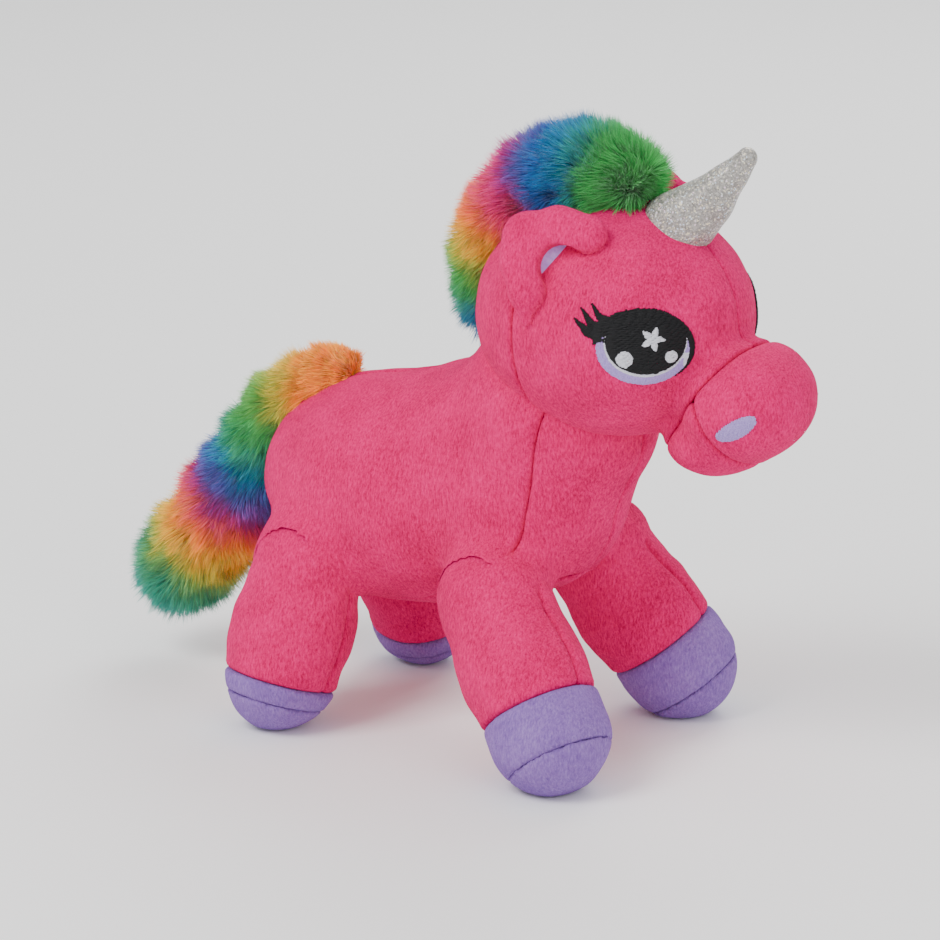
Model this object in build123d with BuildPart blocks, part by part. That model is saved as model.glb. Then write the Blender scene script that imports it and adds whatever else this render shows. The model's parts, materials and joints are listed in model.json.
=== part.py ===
"""Soft plush unicorn that stands on four stubby legs.

Frame: +X towards the head, +Y the animal's left, +Z up, origin on the floor under the middle
of the object.  Millimetres.  Each limb is a sewn cloth cover over its own stuffing.  Limbs meet
the body as balls in cups, so that every soft joint turns without its pieces meeting.
"""
from build123d import *
from math import cos, radians, sin, sqrt
import os

# ---------------------------------------------------------------- driving dimensions
CLOTH = 1.8                      # short-pile cloth with its pile
THREAD = 0.8                     # raised embroidery
GAP = 0.35                       # clearance between pieces of different bodies
SWING_GAP = 0.6                  # clearance along a swept path

BARREL_CENTRE = (-21.0, 0.0, 78.0)
BARREL_RADII = (53.0, 38.5, 39.0)
CHEST_CENTRE = (25.0, 0.0, 86.0)
CHEST_RADII = (36.0, 35.0, 36.0)
WITHERS_CENTRE = (7.0, 0.0, 98.0)
WITHERS_RADII = (36.0, 31.0, 28.0)
WITHERS_TILT = -12.0
CHEST_SEAM_X = 18.0              # seam between the side panels and the chest panels
BELLY_HALF_WIDTH = 17.0          # belly panel, from its centre line to its seam
BELLY_TOP_Z = 60.0               # the belly panel ends below this height

NECK_RISE = (12.0, 0.0, 26.0)    # neck ball from the chest centre
NECK_RADIUS = 34.0

HEAD_RISE = (22.0, 0.0, 37.0)    # head centre from the neck ball
HEAD_RADII = (46.0, 43.5, 39.5)
HEAD_SEAM_X = 45.0               # seam between the back of the head and the face
MUZZLE_REACH = 4.0               # muzzle centre beyond the front of the head
MUZZLE_DROP = 21.5               # muzzle centre below the head centre
MUZZLE_RADII = (21.0, 26.5, 19.5)
CHIN_BACK = 10.0                 # chin centre behind the muzzle centre
CHIN_DROP = 12.5
CHIN_RADII = (17.0, 21.0, 13.0)
MOUTH_SLOPE = -63.0              # fall of the mouth seam, degrees
MOUTH_BACK = 7.0                 # mouth corner behind the muzzle centre

EYE_AZIMUTH = 46.6               # eye centre on the head, degrees from the nose
EYE_ELEVATION = 1.5
EYE_RADII = (15.0, 11.0)
EYE_RIM = 1.3                    # width that each crescent shows below the eye
STAR_RADIUS = 3.7
DOT_RADII = (2.6, 2.1)
DOT_PLACES = ((-7.0, -4.6), (8.6, -3.8))    # from the middle of the eye
NOSTRIL_RADII = (7.0, 2.9)
NOSTRIL_AZIMUTH = 66.0
NOSTRIL_ELEVATION = -10.0
NOSTRIL_TILT = 31.0

HORN_ELEVATION = 58.5            # seat of the horn on the head's centre line
HORN_SINK = 2.6                  # ball centre below the head's surface
HORN_LEAN = 44.5                 # horn axis above the horizontal
HORN_BASE_RADIUS = 11.8
HORN_TIP_RADIUS = 3.3
HORN_LENGTH = 35.5
HORN_CLOTH = 0.9
HORN_ROOM = 4.5                  # the mane stays this far from the horn at rest

EAR_AZIMUTH = 93.0
EAR_ELEVATION = 25.5
EAR_ALONG = (0.59, 0.36, 0.72)   # line of the ear's base on the right of the head
EAR_UP = (-0.434, -0.607, 0.665) # from the base to the tip, square to the base
EAR_LIFT = 2.8                   # fold line above the head's surface
EAR_RADII = (17.0, 14.5)
EAR_OFFSET = (3.5, 10.5)         # ellipse centre from the middle of the base
EAR_THICKNESS = 5.2
EAR_LINING = 1.6
EAR_ROOT_RADIUS = 2.3
EAR_ROOT_LENGTH = 27.0

MANE_RADIUS = 15.5               # half width of the standing pile
MANE_RISE = (-10.0, 0.0, 7.0)    # centre of the mane's arc from the head centre
MANE_ARC_RADIUS = 37.5
MANE_FIRST = 73.0                # front end of the arc, degrees above +X
MANE_LAST = 190.0
MANE_BACKING = 1.2
MANE_BACKING_HALF_WIDTH = 9.0

LEG_TOP_RADIUS = 19.0
FRONT_HOOF_RADIUS = 20.0
REAR_HOOF_RADIUS = 18.8
HOOF_HEIGHT = 17.8               # hoof centre above the floor
HIP_SINK = 3.0                   # leg ball centre inside the side of the body
FRONT_HIP_X = 33.0
FRONT_HIP_Z = 56.0
REAR_HIP_X = -42.0
REAR_HIP_Z = 54.0
REAR_HIP_SINK = 8.5
FRONT_STEP = {"left": 26.0, "right": 29.0}    # hoof ahead of its hip
REAR_STEP = {"left": -2.0, "right": -4.0}
LEG_SPLAY = 11.5                 # hoof outside its hip
FRONT_HOOF_BAND = 9.5            # hoof seam above the hoof centre, along the leg
REAR_HOOF_BAND = -1.5
SOLE_SEAM = 8.5                  # sole seam below the hoof centre, along the leg
LEG_SWING = 20.0                 # each way
SWING_STEPS = 2
SHANK_STAGGER = 0.05             # each swept shank a little wider than the one before

TAIL_ROOT_X = -49.0
TAIL_BALL_RADIUS = 9.0
TAIL_PATH = [(0.0, 0.0), (-22.0, -7.5), (-39.0, -33.0), (-64.0, -71.5)]   # x, z from the root
TAIL_RADII = [10.0, 13.0, 16.5, 18.0]
TAIL_CLOTH_RADII = [4.5, 6.0, 8.5, 9.5]       # under the standing pile
TAIL_BACKING = 1.2
ROD_STAGGER = 0.3                # each rod's first ball a little larger than the last one's end
TAIL_CLEARANCE = 2.4             # between the tail and the rump
TAIL_LIFT_CUT = 74.0             # slope of the tail's front end, which clears the back when lifted

SIDES = {"left": 1.0, "right": -1.0}

# ---------------------------------------------------------------- derived places
NECK = Vector(*CHEST_CENTRE) + Vector(*NECK_RISE)
HEAD = NECK + Vector(*HEAD_RISE)
MUZZLE = HEAD + Vector(HEAD_RADII[0] + MUZZLE_REACH, 0, -MUZZLE_DROP)
CHIN = MUZZLE + Vector(-CHIN_BACK, 0, -CHIN_DROP)
MANE = HEAD + Vector(*MANE_RISE)


def surface_point(centre, radii, azimuth, elevation):
    """A point on an ellipsoid and its outward normal."""
    flat = cos(radians(elevation))
    unit = (flat * cos(radians(azimuth)), flat * sin(radians(azimuth)), sin(radians(elevation)))
    point = centre + Vector(*[u * r for u, r in zip(unit, radii)])
    normal = Vector(*[u / r for u, r in zip(unit, radii)]).normalized()
    return point, normal


def ellipsoid(centre, radii, tilt=0.0):
    """A solid ellipsoid, turned about the Y axis by tilt degrees."""
    with BuildPart() as form:
        Sphere(1)
        scale(by=tuple(radii))
    return Location(tuple(centre), (0, tilt, 0)) * form.part


def grown(radii, amount):
    return tuple(r + amount for r in radii)


def fused(solids):
    with BuildPart() as form:
        for solid in solids:
            add(solid)
    return form.part


def carved(solid, cuts):
    """A solid with every cut taken out of it."""
    with BuildPart() as form:
        add(solid)
        for cut in cuts:
            add(cut, mode=Mode.SUBTRACT)
    return form.part


def panel(shell, seams):
    """The stretch of a cloth shell on the positive side of each seam plane."""
    with BuildPart() as cloth:
        add(shell)
        for seam in seams:
            split(bisect_by=seam, keep=Keep.TOP)
    return cloth.part


def write(name, part):
    part.label = name
    export_step(part, f"parts/{name}.step")


def write_pair(name, part):
    """Writes a right-hand piece and its mirror image on the left."""
    write(f"{name}_right", part)
    with BuildPart() as left:
        add(part)
        mirror(about=Plane.XZ, mode=Mode.REPLACE)
    write(f"{name}_left", left.part)


def flipped(plane):
    return Plane(origin=plane.origin, x_dir=plane.x_dir, z_dir=-plane.z_dir)


# ---------------------------------------------------------------- forms
def torso_form(growth):
    return fused([
        ellipsoid(BARREL_CENTRE, grown(BARREL_RADII, growth)),
        ellipsoid(CHEST_CENTRE, grown(CHEST_RADII, growth)),
        ellipsoid(WITHERS_CENTRE, grown(WITHERS_RADII, growth), WITHERS_TILT),
    ])


def snout_form(growth):
    return fused([
        ellipsoid(MUZZLE, grown(MUZZLE_RADII, growth)),
        ellipsoid(CHIN, grown(CHIN_RADII, growth)),
    ])


def head_form(growth):
    return fused([ellipsoid(HEAD, grown(HEAD_RADII, growth)), snout_form(growth)])


def ball(centre, radius):
    return ellipsoid(centre, (radius, radius, radius))


def turned_form(origin, up, fore, radii, length, growth):
    """A tapered capsule revolved about the line from origin against up: a leg or the horn."""
    top_radius = radii[0] + growth
    end_radius = radii[1] + growth
    profile_plane = Plane(origin=origin, x_dir=fore, z_dir=fore.cross(up))
    with BuildPart() as form:
        with BuildSketch(profile_plane):
            with BuildLine():
                top = CenterArc((0, 0), top_radius, 0, 90)
                side = Line(top @ 0, (end_radius, -length))
                end = CenterArc((0, -length), end_radius, 270, 90)
                Line(end @ 0, top @ 1)
            make_face()
        revolve(axis=Axis(origin, up))
    return form.part


class Leg:
    """Places and planes of one leg, from its hip ball down to its hoof."""

    def __init__(self, name, sign, hip, hoof, hoof_radius, band):
        self.name = name
        self.hip = hip
        self.hoof_radius = hoof_radius
        self.band = band
        self.up = (hip - hoof).normalized()
        self.length = (hip - hoof).length
        self.fore = Vector(0, 1, 0).cross(self.up).normalized()
        self.outward = self.up.cross(self.fore).normalized() * sign

    def form(self, growth):
        radii = (LEG_TOP_RADIUS, self.hoof_radius)
        return turned_form(self.hip, self.up, self.fore, radii, self.length, growth)

    def standing(self, inset):
        """The leg's form cut flat where it stands on the floor."""
        with BuildPart() as leg:
            add(self.form(-inset))
            split(bisect_by=Plane.XY.offset(inset), keep=Keep.TOP)
        return leg.part

    def across(self, below_hip):
        return Plane(origin=self.hip - self.up * below_hip, x_dir=self.fore, z_dir=self.up)

    def seam(self):
        return Plane(origin=self.hip, x_dir=self.fore, z_dir=self.outward)

    def sweep(self):
        """The space that the leg passes through over its swing: its ball and its tapered shank."""
        room = [ball(self.hip, LEG_TOP_RADIUS + GAP)]
        for step in range(SWING_STEPS + 1):
            angle = LEG_SWING * (2.0 * step / SWING_STEPS - 1.0)
            room.append(Location(tuple(self.hip), (0, angle, 0)) * self.shank(step * SHANK_STAGGER))
        return room

    def shank(self, growth):
        """The tapered stretch between hip and hoof, with the hip at its own origin."""
        shank_plane = Plane(origin=-self.up * self.length / 2, x_dir=self.fore, z_dir=self.up)
        with BuildPart() as shank:
            with Locations(shank_plane):
                Cone(
                    bottom_radius=self.hoof_radius + SWING_GAP + growth,
                    top_radius=LEG_TOP_RADIUS + growth,
                    height=self.length,
                )
        return shank.part


def make_leg(end, side):
    sign = SIDES[side]
    if end == "front":
        hip = Vector(FRONT_HIP_X, sign * (CHEST_RADII[1] - HIP_SINK), FRONT_HIP_Z)
        step = FRONT_STEP[side]
        radius, band = FRONT_HOOF_RADIUS, FRONT_HOOF_BAND
    else:
        hip = Vector(REAR_HIP_X, sign * (BARREL_RADII[1] - REAR_HIP_SINK), REAR_HIP_Z)
        step = REAR_STEP[side]
        radius, band = REAR_HOOF_RADIUS, REAR_HOOF_BAND
    hoof = Vector(hip.X + step, hip.Y + sign * LEG_SPLAY, HOOF_HEIGHT)
    return Leg(f"{end}_leg_{side}", sign, hip, hoof, radius, band)


LEGS = [make_leg(end, side) for end in ("front", "rear") for side in SIDES]

# ---------------------------------------------------------------- tail places
rump_height = sqrt(1.0 - ((TAIL_ROOT_X - BARREL_CENTRE[0]) / BARREL_RADII[0]) ** 2)
TAIL = Vector(TAIL_ROOT_X, 0, BARREL_CENTRE[2] + BARREL_RADII[2] * rump_height)


def tail_form(path_radii, growth):
    """Tapered rods with ball ends along the tail's hanging line."""
    points = [TAIL + Vector(x, 0, z) for x, z in TAIL_PATH]
    rods = []
    for index, (start, end) in enumerate(zip(points[:-1], points[1:])):
        along = end - start
        up = -along.normalized()
        radii = (path_radii[index] + index * ROD_STAGGER, path_radii[index + 1])
        rods.append(turned_form(start, up, Vector(0, 1, 0), radii, along.length, growth))
    return fused(rods)


# ---------------------------------------------------------------- body
os.makedirs("parts", exist_ok=True)

neck_cup = ball(NECK, NECK_RADIUS + GAP)
tail_cup = ball(TAIL, TAIL_BALL_RADIUS + GAP)
body_cuts = [neck_cup, tail_cup]
for leg in LEGS:
    body_cuts.extend(leg.sweep())

body_solid = carved(torso_form(0.0), body_cuts)
body_stuffing = carved(torso_form(-CLOTH), body_cuts)
body_shell = carved(body_solid, [torso_form(-CLOTH)])

chest_seam = Plane(origin=(CHEST_SEAM_X, 0, 0), x_dir=(0, 1, 0), z_dir=(1, 0, 0))

with BuildPart() as belly_tool:
    with BuildSketch(Plane.XY):
        SlotOverall(2 * BARREL_RADII[0], 2 * BELLY_HALF_WIDTH)
    extrude(amount=BELLY_TOP_Z)
belly_block = Location((BARREL_CENTRE[0], 0, 0)) * belly_tool.part

with BuildPart() as belly_panel:
    add(body_shell)
    add(belly_block, mode=Mode.INTERSECT)
write("belly_panel", belly_panel.part)

side_shell = carved(body_shell, [belly_block])
right_half = Plane(origin=(0, 0, 0), x_dir=(1, 0, 0), z_dir=(0, -1, 0))
write_pair("body_panel", panel(side_shell, [right_half, flipped(chest_seam)]))
write_pair("chest_panel", panel(side_shell, [right_half, chest_seam]))
write("body_stuffing", body_stuffing)

neck_stuffing = ball(NECK, NECK_RADIUS)
write("neck_stuffing", neck_stuffing)

# ---------------------------------------------------------------- legs
for leg in LEGS:
    shell = carved(leg.standing(0.0), [leg.standing(CLOTH)])
    band = leg.across(leg.length - leg.band)
    sole = leg.across(leg.length + SOLE_SEAM)
    write(f"{leg.name}_outer", panel(shell, [band, leg.seam()]))
    write(f"{leg.name}_inner", panel(shell, [band, flipped(leg.seam())]))
    write(f"{leg.name}_hoof", panel(shell, [flipped(band), sole]))
    write(f"{leg.name}_sole", panel(shell, [flipped(sole)]))
    write(f"{leg.name}_stuffing", leg.standing(CLOTH))

# ---------------------------------------------------------------- head
horn_seat, horn_normal = surface_point(HEAD, HEAD_RADII, 0.0, HORN_ELEVATION)
HORN = horn_seat - horn_normal * HORN_SINK
horn_up = Vector(cos(radians(HORN_LEAN)), 0, sin(radians(HORN_LEAN)))
horn_radii = (HORN_BASE_RADIUS, HORN_TIP_RADIUS)


def horn_form(growth):
    return turned_form(HORN, -horn_up, Vector(0, 1, 0), horn_radii, HORN_LENGTH, growth)


head_cuts = [neck_cup, ball(HORN, HORN_BASE_RADIUS + GAP)]
write("head_stuffing", carved(head_form(-CLOTH), head_cuts))

skull = ellipsoid(HEAD, HEAD_RADII)
skull_core = ellipsoid(HEAD, grown(HEAD_RADII, -CLOTH))
snout_lobes = snout_form(0.0)
skull_shell = carved(skull, [skull_core, neck_cup, ball(HORN, HORN_BASE_RADIUS + GAP)])
head_seam = Plane(origin=(HEAD_SEAM_X, 0, 0), x_dir=(0, 1, 0), z_dir=(1, 0, 0))
write_pair("head_back", panel(skull_shell, [right_half, flipped(head_seam)]))
write_pair("face", carved(panel(skull_shell, [right_half, head_seam]), [snout_lobes]))

snout_shell = carved(snout_lobes, [snout_form(-CLOTH), skull])
mouth_fall = Vector(cos(radians(MOUTH_SLOPE)), 0, sin(radians(MOUTH_SLOPE)))
mouth_point = MUZZLE + Vector(-MOUTH_BACK, 0, 0)
mouth_seam = Plane(origin=mouth_point, x_dir=(0, 1, 0), z_dir=mouth_fall.cross(Vector(0, 1, 0)))
write("muzzle_panel", panel(snout_shell, [mouth_seam]))
write("chin_panel", panel(snout_shell, [flipped(mouth_seam)]))

# ---------------------------------------------------------------- embroidery
skull_thread = carved(ellipsoid(HEAD, grown(HEAD_RADII, THREAD)), [ellipsoid(HEAD, HEAD_RADII)])
snout_thread = carved(
    ellipsoid(MUZZLE, grown(MUZZLE_RADII, THREAD)), [ellipsoid(MUZZLE, MUZZLE_RADII)]
)


def stitched(layer, plane, depth, outline):
    """A patch of raised thread: the outline pressed through a thin layer over the cloth."""
    with BuildPart() as patch:
        with BuildSketch(plane):
            add(outline)
        extrude(amount=depth, both=True)
        add(layer, mode=Mode.INTERSECT)
    return patch.part


def eye_outlines():
    """Sketches of the eye: black, white crescent, lilac crescent, and light sparkles."""
    with BuildSketch() as sparkles:
        RegularPolygon(radius=STAR_RADIUS, side_count=5)
        for place, radius in zip(DOT_PLACES, DOT_RADII):
            with Locations(place):
                Circle(radius)
    with BuildSketch() as black:
        Ellipse(*EYE_RADII)
        add(sparkles.sketch, mode=Mode.SUBTRACT)
    with BuildSketch() as white:
        with Locations((0, -EYE_RIM)):
            Ellipse(*EYE_RADII)
        Ellipse(*EYE_RADII, mode=Mode.SUBTRACT)
    with BuildSketch() as lilac:
        with Locations((0, -2 * EYE_RIM)):
            Ellipse(*EYE_RADII)
        with Locations((0, -EYE_RIM)):
            Ellipse(*EYE_RADII, mode=Mode.SUBTRACT)
        Ellipse(*EYE_RADII, mode=Mode.SUBTRACT)
    return {"black": black, "white": white, "lilac": lilac, "sparkles": sparkles}


with BuildSketch() as nostril_outline:
    Ellipse(*NOSTRIL_RADII, rotation=NOSTRIL_TILT)

def patch_plane(centre, radii, azimuth, elevation):
    """A plane on the right of the head: x forward, z out of the cloth."""
    point, outward = surface_point(centre, radii, -azimuth, elevation)
    return Plane(origin=point, x_dir=Vector(0, 0, 1).cross(outward), z_dir=outward)


eye_plane = patch_plane(HEAD, HEAD_RADII, EYE_AZIMUTH, EYE_ELEVATION)
for name, outline in eye_outlines().items():
    patch = stitched(skull_thread, eye_plane, EYE_RADII[0] / 2, outline.sketch)
    write_pair(f"eye_{name}", patch)
nostril_plane = patch_plane(MUZZLE, MUZZLE_RADII, NOSTRIL_AZIMUTH, NOSTRIL_ELEVATION)
patch = stitched(snout_thread, nostril_plane, NOSTRIL_RADII[0] / 2, nostril_outline.sketch)
write_pair("nostril", patch)

# ---------------------------------------------------------------- horn
write("horn_cover", carved(horn_form(0.0), [horn_form(-HORN_CLOTH)]))
write("horn_stuffing", horn_form(-HORN_CLOTH))

# ---------------------------------------------------------------- ears
ear_seat, ear_outward = surface_point(HEAD, HEAD_RADII, -EAR_AZIMUTH, EAR_ELEVATION)
EAR = ear_seat + ear_outward * EAR_LIFT
ear_along = Vector(*EAR_ALONG).normalized()
ear_face = ear_along.cross(Vector(*EAR_UP)).normalized()
leaf_plane = Plane(origin=EAR, x_dir=ear_along, z_dir=ear_face)
with BuildSketch(leaf_plane) as leaf:
    with Locations(EAR_OFFSET):
        Ellipse(*EAR_RADII)
    with Locations((0, -EAR_RADII[1])):
        Rectangle(4 * EAR_RADII[0], 2 * EAR_RADII[1], mode=Mode.SUBTRACT)
with BuildPart() as ear_root:
    with Locations(Plane(origin=EAR, x_dir=ear_face, z_dir=ear_along)):
        Cylinder(EAR_ROOT_RADIUS, EAR_ROOT_LENGTH)
with BuildPart() as ear_lining:
    add(leaf.sketch)
    extrude(amount=EAR_LINING)
    add(ear_root.part, mode=Mode.SUBTRACT)
with BuildPart() as ear_outer:
    add(leaf.sketch)
    extrude(amount=-(EAR_THICKNESS - EAR_LINING))
    add(ear_root.part)
write_pair("ear_lining", ear_lining.part)
write_pair("ear_outer", ear_outer.part)

# ---------------------------------------------------------------- mane
mane_seat = ellipsoid(HEAD, grown(HEAD_RADII, MANE_BACKING))


def on_mane_arc(angle):
    reach = MANE_ARC_RADIUS
    return MANE + Vector(reach * cos(radians(angle)), 0, reach * sin(radians(angle)))


with BuildPart() as mane_fur:
    with BuildSketch(Plane(origin=on_mane_arc(MANE_FIRST), x_dir=(0, 1, 0),
                           z_dir=(-sin(radians(MANE_FIRST)), 0, cos(radians(MANE_FIRST))))):
        Circle(MANE_RADIUS)
    revolve(axis=Axis(MANE, (0, -1, 0)), revolution_arc=MANE_LAST - MANE_FIRST)
    add(ball(on_mane_arc(MANE_FIRST), MANE_RADIUS))
    add(ball(on_mane_arc(MANE_LAST), MANE_RADIUS))
    add(mane_seat, mode=Mode.SUBTRACT)
    add(neck_cup, mode=Mode.SUBTRACT)
    add(horn_form(HORN_ROOM), mode=Mode.SUBTRACT)
write("mane_fur", mane_fur.part)

with BuildPart() as mane_strip:
    with BuildSketch(Plane.XZ.offset(-MANE_BACKING_HALF_WIDTH)):
        with BuildLine():
            Polyline(
                (MANE.X, MANE.Z),
                (MANE.X + 2 * HEAD_RADII[0] * cos(radians(MANE_FIRST)),
                 MANE.Z + 2 * HEAD_RADII[0] * sin(radians(MANE_FIRST))),
                (MANE.X - 2 * HEAD_RADII[0], MANE.Z + 2 * HEAD_RADII[0]),
                (MANE.X - 2 * HEAD_RADII[0], MANE.Z),
                close=True,
            )
        make_face()
    extrude(amount=2 * MANE_BACKING_HALF_WIDTH)
    add(carved(mane_seat, [ellipsoid(HEAD, HEAD_RADII), neck_cup]), mode=Mode.INTERSECT)
write("mane_backing", mane_strip.part)

# ---------------------------------------------------------------- tail
rump_room = torso_form(TAIL_CLEARANCE)
tail_cuts = [rump_room, tail_cup]
write("tail_root_stuffing", ball(TAIL, TAIL_BALL_RADIUS))
tail_cloth = tail_form(TAIL_CLOTH_RADII, 0.0)
tail_core = tail_form(TAIL_CLOTH_RADII, -TAIL_BACKING)
tail_rear = Vector(-sin(radians(TAIL_LIFT_CUT)), 0, cos(radians(TAIL_LIFT_CUT)))
tail_front_end = Plane(origin=TAIL, x_dir=(0, 1, 0), z_dir=tail_rear)
tail_fur = carved(carved(tail_form(TAIL_RADII, 0.0), [tail_cloth]), tail_cuts)
tail_backing = carved(carved(tail_cloth, [tail_core]), tail_cuts)
write("tail_fur", panel(tail_fur, [tail_front_end]))
write("tail_backing", panel(tail_backing, [tail_front_end]))
write("tail_stuffing", panel(carved(tail_core, tail_cuts), [tail_front_end]))

for name, place in (("neck", NECK), ("horn", HORN), ("tail", TAIL), ("right ear", EAR)):
    print(name, "pivot", place)
for leg in LEGS:
    print(leg.name, "pivot", leg.hip, "hoof", leg.hip - leg.up * leg.length)
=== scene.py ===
"""Looks of the plush unicorn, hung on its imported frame.  Fields and sizes are in millimetres."""

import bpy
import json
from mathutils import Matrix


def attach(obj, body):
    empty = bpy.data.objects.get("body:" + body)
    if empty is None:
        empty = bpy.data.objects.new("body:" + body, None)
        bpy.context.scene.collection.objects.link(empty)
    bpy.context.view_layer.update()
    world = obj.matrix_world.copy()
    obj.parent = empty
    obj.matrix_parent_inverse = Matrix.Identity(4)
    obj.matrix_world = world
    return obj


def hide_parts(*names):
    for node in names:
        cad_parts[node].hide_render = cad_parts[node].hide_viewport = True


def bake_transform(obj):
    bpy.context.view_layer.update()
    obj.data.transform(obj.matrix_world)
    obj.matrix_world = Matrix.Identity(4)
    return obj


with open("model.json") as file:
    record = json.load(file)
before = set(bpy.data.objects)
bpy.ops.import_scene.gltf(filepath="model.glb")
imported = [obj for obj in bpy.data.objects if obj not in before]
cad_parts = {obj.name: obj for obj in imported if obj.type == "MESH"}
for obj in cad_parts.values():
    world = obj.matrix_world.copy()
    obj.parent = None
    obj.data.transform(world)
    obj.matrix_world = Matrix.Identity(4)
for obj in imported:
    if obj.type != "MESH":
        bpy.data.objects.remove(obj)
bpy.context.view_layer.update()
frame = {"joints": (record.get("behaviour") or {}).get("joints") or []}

import json
import math

import bpy
import numpy as np
from mathutils import Vector

MM = 0.001
SIDES = (("left", 1), ("right", -1))
PIVOT = {j["name"]: np.array(j["pos_m"]) / MM for j in frame["joints"]}
rng = np.random.default_rng(11)

# ------------------------------------------------------------------ sizes
# body: barrel, chest and withers, joined softly to the neck and the hips
NECK = PIVOT["neck_turn"]
NECK_RADII = (33.5, 33.5, 33.5)
CHEST = NECK + (-12, 0, -26)
CHEST_RADII = (35.5, 35, 36)
BARREL = CHEST + (-46, 0, -8)
BARREL_RADII = (53, 38.5, 39)
WITHERS = CHEST + (-18, 0, 12)
WITHERS_RADII = (36, 31, 28)
WITHERS_TILT = -12
HIP_RADII = (18.2, 18.2, 18.2)
HIP_RISE = (0, 0, 2)
CHEST_SEAM = (0.982, 0, -0.188)
CHEST_SEAM_OFFSET = 26.3
BELLY_HALF_WIDTH = 17
BELLY_TOP = 60
NECK_AXIS = np.array([0.25, 0, 0.97])     # a line up the neck, with two blend points on it in NECK_BLEND that nothing uses
NECK_BLEND = ((NECK - 10 * NECK_AXIS) * MM, (NECK + 12 * NECK_AXIS) * MM)

# head: skull, muzzle and chin, with a seam in front of the ears, one round the snout and the mouth
HEAD = NECK + (22, 0, 37)
HEAD_RADII = (46, 43.5, 39.5)
MUZZLE = HEAD + (49.6, 0, -21.7)
MUZZLE_RADII = (21, 26.5, 19.5)
CHIN = HEAD + (39.6, 0, -34.0)
CHIN_RADII = (17, 21, 13)
NECK_HOLLOW_RADII = (30, 30, 30)
FACE_SEAM_X = 45
SNOUT_SEAM = (0.81, 0, -0.59)
SNOUT_SEAM_OFFSET = 4.2
MOUTH_SEAM = (0.89, 0, 0.455)
MOUTH_POINT = (102, 0, 130)
EYE_PLACE = (48.0, 0.6)                   # azimuth and elevation on the skull, degrees
NOSTRIL_PLACE = (64, -9)                  # the same on the muzzle

# legs: each hoof's x, y and radius
LEGS = {
    "front_leg_left": (59.0, 43.5, 20.0), "front_leg_right": (62.0, -43.5, 20.0),
    "rear_leg_left": (-44.0, 41.5, 18.8), "rear_leg_right": (-46.0, -41.5, 18.8),
}
LEG_TOP = 18.7
LEG_BULGE_RADII = (20.5, 19.0, 19.0)
LEG_BULGE_DROP = (0, 0, -2)
HOOF_HEIGHT = 17.8
FRONT_BAND = 9.5
REAR_BAND = -1.5
SOLE_SEAM = 8.5
FLOOR_GAP = 0.05

# horn
HORN_ANGLE = math.radians(44.5)
HORN_LENGTH = 35.5
HORN_BASE, HORN_TIP = 11.8, 3.4

# ears: a bent tube of cloth round a hollow with a lining pad, in axes of their own
EAR_AXES = np.array([(0.839, 0.545, 0.0), (-0.155, 0.238, 0.959), (0.522, -0.804, 0.284)])
EAR_LIMB = [((-4.6, -11.0, -4.5), 2.4), ((-4.4, -2.5, -2.5), 5.4), ((-5.4, 7.0, -3.5), 7.0),
            ((-4.2, 14.5, -4.5), 7.6), ((5.7, 17.4, -2.0), 6.6), ((14.4, 15.4, -0.5), 6.4)]
EAR_FLATTEN = np.array([1, 1, 1.45])
EAR_HOLLOW = ((6.5, 5.5, -1.5), (7.5, 7.0, 6.5))
EAR_PAD = ((4.7, 6.0, -7.4), (10.5, 11.0, 3.2))
EAR_NET = 1.0

# mane and tail
MANE_CENTRE = HEAD + (-8, 0, 8)
MANE_ARC = (63.0, 201.0)
MANE_ARC_RADIUS = 36.0
TAIL_ROOT = PIVOT["tail_lift"]
TAIL_POINTS = TAIL_ROOT + np.array([(-3, 0, -2), (-21, 0, -10), (-38, 0, -37), (-59, 0, -67), (-73, 0, -84)])
TAIL_SEAT_POINTS = TAIL_ROOT + np.array([(5, 0, 1), (0, 0, 0.5), (-6, 0, -1)])
FUR_SHARE = 1.0
STRAND_WIDTH = 0.3
SIDEWAYS = np.array([0, 1.0, 0])

SEAM_ROUND = 2.2
CROWN_SEAM_ROUND = 0.7
MOUTH_ROUND = 3.0
HOOF_SEAM_ROUND = 0.9
SOLE_EDGE_ROUND = 1.5
EAR_HOLLOW_ROUND = 1.2
EAR_PAD_ROUND = 2.0
NET = 1.5


# ------------------------------------------------------------------ fields
def unit(v):
    v = np.asarray(v, float)
    return v / np.linalg.norm(v, axis=-1, keepdims=True)


def ellipsoid(p, centre, radii, tilt=0.0):
    q = p - centre
    if tilt:
        c, s = math.cos(math.radians(tilt)), math.sin(math.radians(tilt))
        q = np.stack([c * q[:, 0] - s * q[:, 2], q[:, 1], s * q[:, 0] + c * q[:, 2]], 1)
    radii = np.asarray(radii, float)
    k0 = np.linalg.norm(q / radii, axis=1)
    k1 = np.linalg.norm(q / radii ** 2, axis=1) + 1e-9
    return k0 * (k0 - 1) / k1


def rod(p, a, b, ra, rb):
    """A limb with round ends between two points, with a radius at each."""
    a, b = np.asarray(a, float), np.asarray(b, float)
    ab = b - a
    t = np.clip((p - a) @ ab / (ab @ ab), 0, 1)
    return np.linalg.norm(p - a - t[:, None] * ab, axis=1) - (ra + (rb - ra) * t)


def join(a, b, k):
    """Both shapes, blended over a width k."""
    h = np.clip(0.5 + 0.5 * (b - a) / k, 0, 1)
    return b + (a - b) * h - k * h * (1 - h)


def meet(a, b, k=SEAM_ROUND):
    """What two shapes share, with its edge rounded."""
    return -join(-a, -b, k)


def beyond(p, normal, offset):
    """Negative on the side that the plane's normal points to."""
    return offset - p @ np.asarray(normal, float)


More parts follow.
